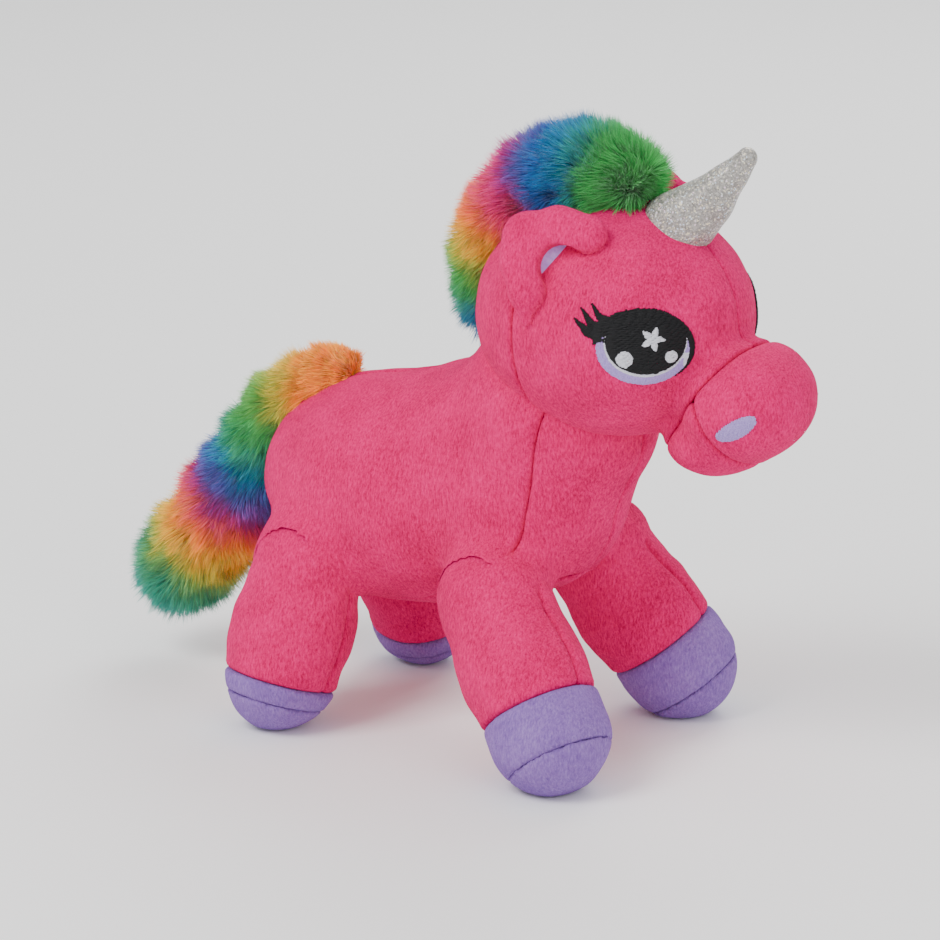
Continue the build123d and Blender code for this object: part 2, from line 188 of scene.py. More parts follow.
def lumps(p, size, seed):
    """Soft noise between about -1 and 1, with features of the given size."""
    r = np.random.default_rng(seed)
    total = np.zeros(len(p))
    for _ in range(7):
        wave = unit(r.normal(size=3)) * (2 * math.pi / (size * r.uniform(0.7, 1.6)))
        total += np.sin(p @ wave + r.uniform(0, 6.28))
    return total / 3.0


def body_field(p):
    f = join(ellipsoid(p, BARREL, BARREL_RADII), ellipsoid(p, CHEST, CHEST_RADII), 10)
    f = join(f, ellipsoid(p, WITHERS, WITHERS_RADII, WITHERS_TILT), 8)
    f = join(f, ellipsoid(p, NECK, NECK_RADII), 8)
    for leg in LEGS:
        f = join(f, ellipsoid(p, PIVOT[f"{leg}_swing"] + HIP_RISE, HIP_RADII), 9)
    return f + 0.45 * lumps(p, 34, 1) + 0.2 * lumps(p, 13, 2)


def head_field(p):
    snout = join(ellipsoid(p, MUZZLE, MUZZLE_RADII), ellipsoid(p, CHIN, CHIN_RADII), 4)
    f = join(ellipsoid(p, HEAD, HEAD_RADII), snout, 5)
    return f + 0.35 * lumps(p, 40, 3) + 0.15 * lumps(p, 14, 4)


def slope(field, p, h=0.05):
    steps = np.eye(3) * h
    g = np.stack([field(p + s) - field(p - s) for s in steps], 1) / (2 * h)
    return g + 1e-9


def net_quads(inside, index):
    """One quad round each grid edge that crosses the surface, facing outwards."""
    quads = []
    for axis in range(3):
        u, v = (axis + 1) % 3, (axis + 2) % 3
        low, high = [slice(None)] * 3, [slice(None)] * 3
        low[axis], high[axis] = slice(0, -1), slice(1, None)
        a, b = inside[tuple(low)], inside[tuple(high)]
        core = [slice(None)] * 3
        core[u], core[v] = slice(1, -1), slice(1, -1)
        spots = np.argwhere((a != b)[tuple(core)])
        spots[:, u] += 1
        spots[:, v] += 1
        ring = []
        for du, dv in ((-1, -1), (0, -1), (0, 0), (-1, 0)):
            at = spots.copy()
            at[:, u] += du
            at[:, v] += dv
            ring.append(index[at[:, 0], at[:, 1], at[:, 2]])
        ring = np.stack(ring, 1)
        outward = a[spots[:, 0], spots[:, 1], spots[:, 2]]
        ring[~outward] = ring[~outward][:, ::-1]
        quads.append(ring)
    return np.concatenate(quads)


def surface_net(field, lo, hi, step):
    """Vertices and quads of the surface where a field is zero."""
    axes = [np.arange(lo[i] - step, hi[i] + 2 * step, step) for i in range(3)]
    grid = np.stack(np.meshgrid(*axes, indexing="ij"), -1)
    shape = grid.shape[:3]
    value = field(grid.reshape(-1, 3)).reshape(shape)
    inside = value < 0
    cells = tuple(n - 1 for n in shape)
    total, count = np.zeros(cells + (3,)), np.zeros(cells)

    def corner(a, c):
        return a[c[0]:c[0] + cells[0], c[1]:c[1] + cells[1], c[2]:c[2] + cells[2]]

    for axis in range(3):
        for one in (0, 1):
            for two in (0, 1):
                start = np.zeros(3, int)
                start[(axis + 1) % 3], start[(axis + 2) % 3] = one, two
                end = start.copy()
                end[axis] = 1
                va, vb = corner(value, start), corner(value, end)
                cross = (va < 0) != (vb < 0)
                t = np.where(cross, va / np.where(cross, va - vb, 1), 0)
                spot = start + t[..., None] * (end - start)
                total += np.where(cross[..., None], spot, 0)
                count += cross
    active = count > 0
    index = np.full(cells, -1)
    index[active] = np.arange(active.sum())
    base = np.argwhere(active) + total[active] / count[active][:, None]
    points = np.array([a[0] for a in axes]) + base * step
    for _ in range(3):                    # the points settle on the surface
        f, g = field(points), slope(field, points)
        points = points - np.clip(f / (g * g).sum(1), -step / 2, step / 2)[:, None] * g
    return points, net_quads(inside, index)


# ------------------------------------------------------------------ meshes
def link_piece(name, mesh, material):
    mesh.polygons.foreach_set("use_smooth", np.ones(len(mesh.polygons), bool))
    mesh.materials.append(material)
    piece = bpy.data.objects.new(name, mesh)
    bpy.context.scene.collection.objects.link(piece)
    return piece


def make_mesh(name, points, *faces):
    """A mesh from its points and one or more arrays of faces, each with one count of corners."""
    mesh = bpy.data.meshes.new(name)
    mesh.vertices.add(len(points))
    mesh.vertices.foreach_set("co", (np.asarray(points, float) * MM).ravel())
    corners = np.concatenate([kind.ravel() for kind in faces])
    counts = np.concatenate([np.full(len(kind), kind.shape[1]) for kind in faces])
    mesh.loops.add(len(corners))
    mesh.loops.foreach_set("vertex_index", corners)
    mesh.polygons.add(len(counts))
    mesh.polygons.foreach_set("loop_start", np.cumsum(counts) - counts)
    mesh.update(calc_edges=True)
    return mesh


def grown_piece(name, field, lo, hi, material, step=NET):
    mesh = make_mesh(name, *surface_net(field, lo, hi, step))
    mesh.validate()
    return link_piece(name, mesh, material)


def attribute(piece, name, values):
    data = piece.data.attributes.new(name, "FLOAT", "POINT")
    data.data.foreach_set("value", np.asarray(values, float))


# ------------------------------------------------------------------ materials
def nodes_of(name):
    mat = bpy.data.materials.new(name)
    mat.use_nodes = True
    tree = mat.node_tree
    return mat, tree.nodes, tree.links, tree.nodes["Principled BSDF"]


def noise(nodes, links, coord, scale, detail=2.0, rough=0.5):
    node = nodes.new("ShaderNodeTexNoise")
    node.inputs["Scale"].default_value = scale
    node.inputs["Detail"].default_value = detail
    node.inputs["Roughness"].default_value = rough
    links.new(coord, node.inputs["Vector"])
    return node.outputs["Fac"]


def ramp(nodes, links, fac, stops, smooth="LINEAR"):
    node = nodes.new("ShaderNodeValToRGB")
    node.color_ramp.interpolation = smooth
    elements = node.color_ramp.elements
    while len(elements) < len(stops):
        elements.new(0.5)
    for element, (place, colour) in zip(elements, stops):
        element.position = place
        element.color = tuple(colour) + (1,)
    links.new(fac, node.inputs["Fac"])
    return node.outputs["Color"]


def math_node(nodes, links, kind, a, b):
    node = nodes.new("ShaderNodeMath")
    node.operation = kind
    for socket, value in zip(node.inputs, (a, b)):
        if isinstance(value, (int, float)):
            socket.default_value = value
        else:
            links.new(value, socket)
    return node.outputs[0]


def bump(nodes, links, height, bsdf, strength, distance):
    node = nodes.new("ShaderNodeBump")
    node.inputs["Strength"].default_value = strength
    node.inputs["Distance"].default_value = distance
    links.new(height, node.inputs["Height"])
    links.new(node.outputs["Normal"], bsdf.inputs["Normal"])


def object_coord(nodes):
    return nodes.new("ShaderNodeTexCoord").outputs["Object"]


def velboa(name, deep, mid, light, tint):
    """Short-pile plush: brushed patches, a fine nap and a soft sheen."""
    mat, nodes, links, bsdf = nodes_of(name)
    coord = object_coord(nodes)
    patches = noise(nodes, links, coord, scale=70, detail=3, rough=0.55)
    combed = nodes.new("ShaderNodeMapping")
    combed.inputs["Rotation"].default_value = (0.5, 0.3, 0.6)
    combed.inputs["Scale"].default_value = (1.5, 1.0, 0.45)
    links.new(coord, combed.inputs["Vector"])
    nap = noise(nodes, links, combed.outputs["Vector"], scale=1150, detail=3, rough=0.75)
    fibre = noise(nodes, links, coord, scale=1500, detail=2, rough=0.6)
    mixed = math_node(nodes, links, "MULTIPLY", nap, 0.75)
    mixed = math_node(nodes, links, "ADD", mixed, math_node(nodes, links, "MULTIPLY", patches, 0.25))
    colour = ramp(nodes, links, mixed, [(0.33, deep), (0.5, mid), (0.68, light)])
    links.new(colour, bsdf.inputs["Base Color"])
    bsdf.inputs["Roughness"].default_value = 0.85
    bsdf.inputs["Specular IOR Level"].default_value = 0.06
    bsdf.inputs["Sheen Weight"].default_value = 0.16
    bsdf.inputs["Sheen Roughness"].default_value = 0.45
    bsdf.inputs["Sheen Tint"].default_value = tuple(tint) + (1,)
    height = math_node(nodes, links, "ADD", nap, math_node(nodes, links, "MULTIPLY", fibre, 0.8))
    bump(nodes, links, height, bsdf, strength=0.75, distance=0.0011)
    return mat


def thread(name, colour, light):
    """Embroidery thread: a fine twist and a dull shine."""
    mat, nodes, links, bsdf = nodes_of(name)
    coord = object_coord(nodes)
    fine = noise(nodes, links, coord, scale=2400, detail=2, rough=0.6)
    links.new(ramp(nodes, links, fine, [(0.35, colour), (0.7, light)]), bsdf.inputs["Base Color"])
    bsdf.inputs["Roughness"].default_value = 0.55
    bsdf.inputs["Specular IOR Level"].default_value = 0.25
    bump(nodes, links, fine, bsdf, strength=0.3, distance=0.0003)
    return mat


def fur_material(name, stops):
    """Faux fur dyed in soft bands along its length; its value follows the shade attribute: random strand tone plus
    painted shade and painted highlight.
    """
    mat, nodes, links, bsdf = nodes_of(name)
    band = nodes.new("ShaderNodeAttribute")
    band.attribute_name = "band"
    shade = nodes.new("ShaderNodeAttribute")
    shade.attribute_name = "shade"
    coord = object_coord(nodes)
    blot = math_node(nodes, links, "SUBTRACT", noise(nodes, links, coord, scale=110), 0.5)
    place = math_node(nodes, links, "MULTIPLY", blot, 0.09)
    place = math_node(nodes, links, "ADD", band.outputs["Fac"], place)
    colour = ramp(nodes, links, place, stops, "B_SPLINE")
    tone = nodes.new("ShaderNodeHueSaturation")
    links.new(colour, tone.inputs["Color"])
    # value from the shade attribute: random strand tone, painted shade at the strand roots and on the core, and a
    # painted highlight at the strand tips
    links.new(shade.outputs["Fac"], tone.inputs["Value"])
    links.new(tone.outputs["Color"], bsdf.inputs["Base Color"])
    bsdf.inputs["Roughness"].default_value = 0.5
    bsdf.inputs["Specular IOR Level"].default_value = 0.35
    bsdf.inputs["Sheen Weight"].default_value = 0.35
    return mat


def horn_material():
    """Silver lame: a knitted base full of small bright flecks."""
    mat, nodes, links, bsdf = nodes_of("silver_lame")
    coord = object_coord(nodes)
    cells = nodes.new("ShaderNodeTexVoronoi")
    cells.inputs["Scale"].default_value = 2100
    links.new(coord, cells.inputs["Vector"])
    split = nodes.new("ShaderNodeSeparateColor")
    links.new(cells.outputs["Color"], split.inputs["Color"])
    base = ramp(nodes, links, split.outputs["Red"], [
        (0.0, (0.22, 0.21, 0.195)), (0.5, (0.33, 0.315, 0.295)), (0.8, (0.44, 0.42, 0.39)),
        (0.9, (0.8, 0.72, 0.5)), (0.95, (0.55, 0.68, 0.8)), (1.0, (0.8, 0.6, 0.68))])
    links.new(base, bsdf.inputs["Base Color"])
    metal = ramp(nodes, links, split.outputs["Green"], [(0.5, (0.1,) * 3), (0.95, (0.85,) * 3)])
    links.new(metal, bsdf.inputs["Metallic"])
    rough = ramp(nodes, links, split.outputs["Blue"], [(0.2, (0.28,) * 3), (0.9, (0.6,) * 3)])
    links.new(rough, bsdf.inputs["Roughness"])
    bump(nodes, links, split.outputs["Blue"], bsdf, strength=0.4, distance=0.0003)
    return mat


def satin(name, colour, light):
    """The ears' lining: smooth cloth with a soft shine."""
    mat, nodes, links, bsdf = nodes_of(name)
    coord = object_coord(nodes)
    fine = noise(nodes, links, coord, scale=900, detail=3, rough=0.6)
    links.new(ramp(nodes, links, fine, [(0.3, colour), (0.7, light)]), bsdf.inputs["Base Color"])
    bsdf.inputs["Roughness"].default_value = 0.38
    bsdf.inputs["Sheen Weight"].default_value = 0.3
    bump(nodes, links, fine, bsdf, strength=0.25, distance=0.0004)
    return mat


GREEN, TEAL, BLUE, VIOLET = (0.05, 0.42, 0.08), (0.0, 0.3, 0.33), (0.004, 0.15, 0.5), (0.2, 0.03, 0.32)
MAGENTA, ORANGE, YELLOW = (0.75, 0.01, 0.2), (0.95, 0.23, 0.01), (0.95, 0.6, 0.02)
MATERIALS = {
    "pink": velboa("pink_velboa", (0.46, 0.0, 0.062), (0.76, 0.0, 0.135), (0.98, 0.012, 0.22), (1, 0.2, 0.42)),
    "purple": velboa("purple_velboa", (0.17, 0.085, 0.33), (0.26, 0.14, 0.45), (0.36, 0.22, 0.56), (0.6, 0.4, 1)),
    "black": thread("black_thread", (0.002, 0.002, 0.0025), (0.008, 0.008, 0.01)),
    "white": thread("white_thread", (0.5, 0.5, 0.58), (0.72, 0.72, 0.78)),
    "lilac": thread("lilac_thread", (0.3, 0.2, 0.52), (0.45, 0.34, 0.68)),
    "silver": thread("silver_thread", (0.5, 0.5, 0.56), (0.7, 0.7, 0.75)),
    "lining": satin("ear_satin", (0.38, 0.2, 0.66), (0.52, 0.34, 0.8)),
    "horn": horn_material(),
    "mane": fur_material("mane_fur_dye", [
        (0.0, GREEN), (0.14, GREEN), (0.2, TEAL), (0.27, BLUE), (0.34, BLUE), (0.4, VIOLET), (0.46, MAGENTA),
        (0.55, MAGENTA), (0.62, ORANGE), (0.7, YELLOW), (0.78, GREEN), (0.88, GREEN), (0.97, BLUE)]),
    "tail": fur_material("tail_fur_dye", [
        (0.0, ORANGE), (0.1, YELLOW), (0.2, GREEN), (0.3, GREEN), (0.38, TEAL), (0.44, BLUE),
        (0.52, VIOLET), (0.58, MAGENTA), (0.66, ORANGE), (0.75, YELLOW), (0.84, GREEN), (1.0, TEAL)]),
}


# ------------------------------------------------------------------ body, head and legs
def finish_piece(piece, body, nodes):
    if body:
        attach(piece, body)
    if nodes:
        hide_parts(*nodes)


def y_range(sign, inner, outer):
    return (-inner, outer) if sign > 0 else (-outer, inner)


def build_body():
    chest_normal = unit(CHEST_SEAM)

    def belly(p):
        return np.maximum(np.abs(p[:, 1]) - BELLY_HALF_WIDTH, p[:, 2] - BELLY_TOP)

    def side(sign, front):
        def field(p):
            f = meet(body_field(p), -sign * p[:, 1])
            f = meet(f, -belly(p))
            chest = beyond(p, chest_normal, CHEST_SEAM_OFFSET)
            return meet(f, chest if front else -chest)
        return field

    for name, sign in SIDES:
        low, high = y_range(sign, 1, 41)
        rear = grown_piece(f"body_side_{name}", side(sign, False), (-78, low, 36), (56, high, 146), MATERIALS["pink"])
        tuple(NECK_BLEND[0])
        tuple(NECK_BLEND[1])
        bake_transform(rear)
        fillings = ["body_stuffing", "neck_stuffing"] if name == "left" else []
        finish_piece(rear, None, [f"body_panel_{name}"] + fillings)
        front = grown_piece(f"chest_{name}", side(sign, True), (30, low, 46), (76, high, 146), MATERIALS["pink"])
        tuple(NECK_BLEND[0])
        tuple(NECK_BLEND[1])
        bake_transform(front)
        finish_piece(front, None, [f"chest_panel_{name}"])

    def under(p):
        return meet(body_field(p), belly(p))

    panel = grown_piece("belly", under, (-76, -18, 36), (62, 18, 62), MATERIALS["pink"])
    finish_piece(panel, "torso", ["belly_panel"])


def build_skull():
    snout_normal = unit(SNOUT_SEAM)

    def skull(sign, front):
        def field(p):
            f = meet(head_field(p), -sign * p[:, 1], CROWN_SEAM_ROUND)
            f = np.maximum(f, -ellipsoid(p, NECK, NECK_HOLLOW_RADII))
            f = meet(f, -beyond(p, snout_normal, SNOUT_SEAM_OFFSET))
            seam = p[:, 0] - FACE_SEAM_X
            return meet(f, -seam if front else seam)
        return field

    for name, sign in SIDES:
        low, high = y_range(sign, 1, 46)
        face = grown_piece(f"face_skin_{name}", skull(sign, True), (43, low, 104), (112, high, 192), MATERIALS["pink"])
        filling = ["head_stuffing"] if name == "left" else []
        finish_piece(face, "head", [f"face_{name}"] + filling)
        back = grown_piece(f"nape_{name}", skull(sign, False), (10, low, 104), (47, high, 192), MATERIALS["pink"])
        finish_piece(back, "head", [f"head_back_{name}"])


def build_snout():
    snout_normal, mouth_normal = unit(SNOUT_SEAM), unit(MOUTH_SEAM)
    mouth_offset = float(np.dot(mouth_normal, MOUTH_POINT))

    def snout(lower):
        def field(p):
            f = meet(head_field(p), beyond(p, snout_normal, SNOUT_SEAM_OFFSET))
            mouth = beyond(p, mouth_normal, mouth_offset)
            return meet(f, -mouth if lower else mouth, MOUTH_ROUND)
        return field

    for name, lower in (("muzzle", False), ("chin", True)):
        piece = grown_piece(name, snout(lower), (72, -29, 102), (133, 29, 156), MATERIALS["pink"], NET * 0.8)
        finish_piece(piece, "head", [f"{name}_panel"])


def build_leg(name, hoof_x, hoof_y, radius):
    hip = PIVOT[f"{name}_swing"]
    hoof = np.array([hoof_x, hoof_y, HOOF_HEIGHT])
    up = unit(hip - hoof)
    outward = unit(np.cross(up, unit(np.cross((0, 1, 0), up)))) * (1 if hoof_y > 0 else -1)
    band_height = FRONT_BAND if name.startswith("front") else REAR_BAND
    seed = 20 + list(LEGS).index(name) * 3

    def leg(p):
        f = rod(p, hip, hoof, LEG_TOP, radius)
        f = join(f, ellipsoid(p, (hip + hoof) / 2 + LEG_BULGE_DROP, LEG_BULGE_RADII), 6)
        return f + 0.35 * lumps(p, 26, seed) + 0.18 * lumps(p, 11, seed + 1)

    def above(p, height):
        return (hoof - p) @ up + height

    def cloth(half):
        def field(p):
            return meet(meet(leg(p), above(p, band_height)), half * ((p - hip) @ outward))
        return field

    def band(p):
        return meet(meet(leg(p), -above(p, band_height)), above(p, -SOLE_SEAM), HOOF_SEAM_ROUND)

    def sole(p):
        return meet(meet(leg(p), -above(p, -SOLE_SEAM), HOOF_SEAM_ROUND), FLOOR_GAP - p[:, 2], SOLE_EDGE_ROUND)

    lo, hi = np.minimum(hip, hoof) - 24, np.maximum(hip, hoof) + 24
    for part, field, colour in (("outer", cloth(-1), "pink"), ("inner", cloth(1), "pink"),
                                ("hoof", band, "purple"), ("sole", sole, "purple")):
        piece = grown_piece(f"{name}_{part}_skin", field, lo, hi, MATERIALS[colour])
        filling = [f"{name}_stuffing"] if part == "outer" else []
        finish_piece(piece, name, [f"{name}_{part}"] + filling)


# ------------------------------------------------------------------ horn and ears
def build_horn():
    base = PIVOT["horn_wobble"]
    up = np.array([math.cos(HORN_ANGLE), 0, math.sin(HORN_ANGLE)])
    back = np.array([-up[2], 0, up[0]])
    tip = base + up * HORN_LENGTH

    def field(p):
        height = (p - base) @ up
        bent = p + np.outer(0.9 * np.sin(height / 9.0) * np.clip(height / 20, 0, 1), back)
        return rod(bent, base, tip, HORN_BASE, HORN_TIP) + 0.25 * lumps(p, 14, 40)

    lo, hi = base - 14, np.maximum(base, tip) + (6, 14, 6)
    piece = grown_piece("horn_skin", field, lo, hi, MATERIALS["horn"], NET * 0.6)
    finish_piece(piece, "horn", ["horn_cover", "horn_stuffing"])


def build_ear(name, sign):
    fold = PIVOT[f"ear_fold_{name}"]

    def local(p):
        return ((p - fold) * (1, -sign, 1)) @ EAR_AXES.T

    def hood(p):
        q = local(p) * EAR_FLATTEN
        limbs = [rod(q, a * EAR_FLATTEN, b * EAR_FLATTEN, ra, rb)
                 for (a, ra), (b, rb) in zip(EAR_LIMB[:-1], EAR_LIMB[1:])]
        f = limbs[0]
        for limb in limbs[1:]:
            f = join(f, limb, 3)
        f = meet(f, -ellipsoid(local(p), *EAR_HOLLOW), EAR_HOLLOW_ROUND)
        return f + 0.25 * lumps(p, 12, 50)

    def lining(p):
        q = local(p)
        rim = q[:, 0] - 12.5 + 0.35 * np.abs(q[:, 1] - 7.5)
        return meet(ellipsoid(q, *EAR_PAD), rim, EAR_PAD_ROUND)

    lo, hi = fold - 34, fold + 34
    shell = grown_piece(f"ear_shell_{name}", hood, lo, hi, MATERIALS["pink"], EAR_NET)
    finish_piece(shell, f"ear_{name}", [f"ear_outer_{name}"])
    pad = grown_piece(f"ear_inside_{name}", lining, lo, hi, MATERIALS["lining"], EAR_NET)
    finish_piece(pad, f"ear_{name}", [f"ear_lining_{name}"])


# ------------------------------------------------------------------ embroidery
def surface_plane(centre, radii, place, sign):
    """Origin, forward, up and outward directions at a place on an ellipsoid."""
    a, e = math.radians(place[0]) * sign, math.radians(place[1])
    way = np.array([math.cos(e) * math.cos(a), math.cos(e) * math.sin(a), math.sin(e)])
    out = unit(way / radii)
    ahead = unit(np.cross((0, 0, 1), out)) * -sign
    return centre + way * radii, ahead, unit(np.cross(out, ahead)) * -sign, out


def stitch_lines(region, angle, spacing, longest, count, reach=25.0, fine=0.2, shortest=0.35):
    """Rows of short stitches over a region, each as a few points on the embroidery's plane."""
    c, s = math.cos(math.radians(angle)), math.sin(math.radians(angle))
    along = np.arange(-reach, reach, fine)
    lines = []
    for row, offset in enumerate(np.arange(-reach, reach, spacing)):
        hit = region(along * c - offset * s, along * s + offset * c)
        edges = np.flatnonzero(np.diff(np.concatenate([[0], hit.astype(int), [0]])))
        for start, end in zip(edges[::2], edges[1::2]):
            span = (end - start) * fine
            if span < shortest:
                continue
            parts = max(1, int(math.ceil(span / longest)))
            shift = (row % 3) / 3.0 if parts > 1 else 0
            cuts = [0] + [min(1, (k + shift) / parts) for k in range(1, parts)] + [1]
            for one, two in zip(cuts[:-1], cuts[1:]):
                a = along[start] + span * one - fine / 2
                b = along[start] + span * two + fine / 2
                line = np.linspace(a, b, count) + rng.uniform(-0.08, 0.08)
                side = offset + rng.uniform(-0.05, 0.05)
                lines.append(np.stack([line * c - side * s, line * s + side * c], 1))
    return np.array(lines)


def embroider(name, region, plane, angle, spacing, width, lift, longest, colour, nodes):
    """Satin stitches over a region: short raised threads in rows that follow the head's cloth."""
    origin, right, up, out = plane
    count = 6
    lines = stitch_lines(region, angle, spacing, longest, count)
    flat = lines.reshape(-1, 2)
    clear = 8
    p = origin + flat[:, :1] * right + flat[:, 1:] * up + clear * out
    for _ in range(30):                   # the stitches come down onto the cloth
        p = p - head_field(p)[:, None] * out
    normal = unit(slope(head_field, p)).reshape(len(lines), count, 3)
    p = p.reshape(normal.shape)
    across = unit(np.cross(normal, unit(np.gradient(p, axis=1))))
    arch = np.sin(np.linspace(0.12, math.pi - 0.12, count))[None, :, None] ** 0.6
    p = p + normal * (arch * lift * rng.uniform(0.85, 1.15, (len(lines), 1, 1)) - 0.1)
    rim = np.linspace(0, math.pi, 5)
    ring = np.stack([p + across * (width / 2 * math.cos(t)) + normal * (width / 2 * math.sin(t)) for t in rim], 2)
    index = np.arange(ring[..., 0].size).reshape(ring.shape[:3])
    quads = np.stack([index[:, :-1, :-1], index[:, 1:, :-1], index[:, 1:, 1:], index[:, :-1, 1:]], -1)
    mesh = make_mesh(name, ring.reshape(-1, 3), quads.reshape(-1, 4))
    mesh.validate()
    finish_piece(link_piece(name, mesh, MATERIALS[colour]), "head", nodes)


def inside_ellipse(u, v, cu, cv, ru, rv, turn=0.0):
    c, s = math.cos(math.radians(turn)), math.sin(math.radians(turn))
    x, y = (u - cu) * c + (v - cv) * s, (v - cv) * c - (u - cu) * s
    return (x / ru) ** 2 + (y / rv) ** 2 < 1


def near_stroke(u, v, points, widths):
    hit = np.zeros(len(u), bool)
    for (a, b), (wa, wb) in zip(zip(points[:-1], points[1:]), zip(widths[:-1], widths[1:])):
        a, b = np.array(a), np.array(b)
        t = np.clip(((u - a[0]) * (b - a)[0] + (v - a[1]) * (b - a)[1]) / ((b - a) @ (b - a)), 0, 1)
        gap = np.hypot(u - a[0] - t * (b - a)[0], v - a[1] - t * (b - a)[1])
        hit |= gap < wa + (wb - wa) * t
    return hit


def in_star(u, v, cu, cv, radius, first):
    a = np.arctan2(v - cv, u - cu) - math.radians(first)
    wedge = np.abs((a / (2 * math.pi / 5) + 0.5) % 1 - 0.5) * 2
    return np.hypot(u - cu, v - cv) < radius * (1 - 0.58 * wedge ** 0.8)


def eye_regions():
    """The four colours of an eye, as regions of the embroidery's plane."""
    def sparkle(u, v):
        star = in_star(u, v, 2.0, 2.2, 4.1, 68)
        return star | inside_ellipse(u, v, -6.8, -4.2, 2.6, 2.6) | inside_ellipse(u, v, 8.0, -3.7, 2.0, 2.0)

    def iris(u, v):
        return inside_ellipse(u, v, 0.2, 1.2, 12.9, 10.5)

    def crescent(u, v):
        return inside_ellipse(u, v, -0.6, -1.5, 14.8, 11.4, -7)

    def lid(u, v):
        rim = inside_ellipse(u, v, -0.2, -0.2, 16.2, 11.9, -9) & ~crescent(u, v)
        corner = inside_ellipse(u, v, -13.6, 5.0, 2.6, 4.2, -30) & ~inside_ellipse(u, v, -11.6, 1.0, 2.2, 5.0, 0)
        return rim & ((v > 0.5) | ((u > 9) & (v > -10.9))) | corner

    def black(u, v):
        return (iris(u, v) | lid(u, v)) & ~sparkle(u, v)

    def white(u, v):
        ring = inside_ellipse(u, v, 0.2, 0.5, 13.2, 10.8)
        front_end = (u > 12.2) & (v < -3)
        return crescent(u, v) & (ring | front_end) & ~iris(u, v) & ~lid(u, v)

    def lilac(u, v):
        return crescent(u, v) & ~iris(u, v) & ~white(u, v) & ~lid(u, v) & (v < 3)

    return black, white, lilac, sparkle


def lashes(u, v):
    strokes = [([(-14.0, 3.2), (-18.0, 4.2), (-21.8, 8.2)], [2.2, 1.4, 0.2]),
               ([(-13.0, 5.4), (-16.6, 6.4), (-19.5, 11.4)], [1.9, 1.3, 0.2]),
               ([(-11.5, 7.6), (-14.3, 9.0), (-16.4, 13.0)], [1.6, 1.0, 0.2])]
    return np.any([near_stroke(u, v, points, widths) for points, widths in strokes], axis=0)


def build_eye(name, sign):
    plane = surface_plane(HEAD, HEAD_RADII, EYE_PLACE, sign)
    black, white, lilac, sparkle = eye_regions()
    for part, region, angle, lift, colour in (("black", black, 12, 0.5, "black"), ("white", white, 60, 0.3, "white"),
                                              ("lilac", lilac, 80, 0.35, "lilac"),
                                              ("sparkles", sparkle, 12, 0.7, "silver")):
        embroider(f"eye_{part}_stitches_{name}", region, plane, angle, spacing=0.42, width=0.55, lift=lift,
                  longest=3.6, colour=colour, nodes=[f"eye_{part}_{name}"])
    embroider(f"lashes_{name}", lashes, plane, 35, spacing=0.4, width=0.5, lift=0.45,
              longest=3.0, colour="black", nodes=[])


def build_nostril(name, sign):
    plane = surface_plane(MUZZLE, MUZZLE_RADII, NOSTRIL_PLACE, sign)

    def leaf(u, v):
        return inside_ellipse(u, v, 0, 0, 7.0, 3.0, 32) & ~inside_ellipse(u, v, -8.6, 3.2, 5, 4, 32)

    embroider(f"nostril_stitches_{name}", leaf, plane, 75, spacing=0.45, width=0.55, lift=0.5,
              longest=8.0, colour="lilac", nodes=[f"nostril_{name}"])


# ------------------------------------------------------------------ fur
def spine(points, count):
    """Evenly spaced points, and the directions along and out from a smoothed line."""
    t = np.linspace(0, len(points) - 1, 400)
    i = np.clip(t.astype(int), 0, len(points) - 2)
    u = (t - i)[:, None]
    padded = np.vstack([2 * points[0] - points[1], points, 2 * points[-1] - points[-2]])
    p0, p1, p2, p3 = (padded[i + k] for k in range(4))
    square, cube = 2 * p0 - 5 * p1 + 4 * p2 - p3, 3 * p1 - p0 - 3 * p2 + p3
    line = 0.5 * (2 * p1 + (p2 - p0) * u + square * u ** 2 + cube * u ** 3)
    length = np.concatenate([[0], np.cumsum(np.linalg.norm(np.diff(line, axis=0), axis=1))])
    even = np.linspace(0, length[-1], count)
    line = np.stack([np.interp(even, length, line[:, k]) for k in range(3)], 1)
    tangents = unit(np.gradient(line, axis=0))
    return line, tangents, unit(np.cross(SIDEWAYS, tangents))


def along_line(values, t):
    """A row of values, or of directions, read at the fractions t of its length."""
    values = np.asarray(values, float)
    stations = np.linspace(0, 1, len(values))
    if values.ndim == 1:
        return np.interp(t, stations, values)
    at = t * (len(values) - 1)
    return np.stack([np.interp(at, np.arange(len(values)), values[:, k]) for k in range(3)], 1)


def strand_points(root, radial, tangent, tilt, length, droop):
    """Five points for each strand: two at the root, two half way and the tip."""
    count = len(root)
    curl = np.stack([lumps(root, 7, seed) for seed in (61, 62, 63)], 1) * 0.34
    way = unit(radial + tangent * tilt[:, None] + curl + rng.normal(0, 0.13, (count, 3)))
    bend = unit(way + np.array([0, 0, -droop]) + 0.5 * curl + tangent * 0.3)
    tuft = 2.4 * np.stack([lumps(root, 3.2, seed) for seed in (71, 72, 73)], 1)
    sag = (bend - way) * length[:, None] * 0.6 + tuft * 0.35
    path = np.stack([root + way * (length * s)[:, None] + sag * s ** 2 for s in (0, 0.55, 1.0)], 1)
    across = unit(np.cross(way, rng.normal(size=(count, 3))))
    widths = STRAND_WIDTH * rng.uniform(0.7, 1.25, count)
    half = across[:, None] * (widths[:, None] * np.array([1.0, 0.8]) / 2)[..., None]
    return np.concatenate([path[:, :2] - half, path[:, :2] + half, path[:, 2:]], 1)


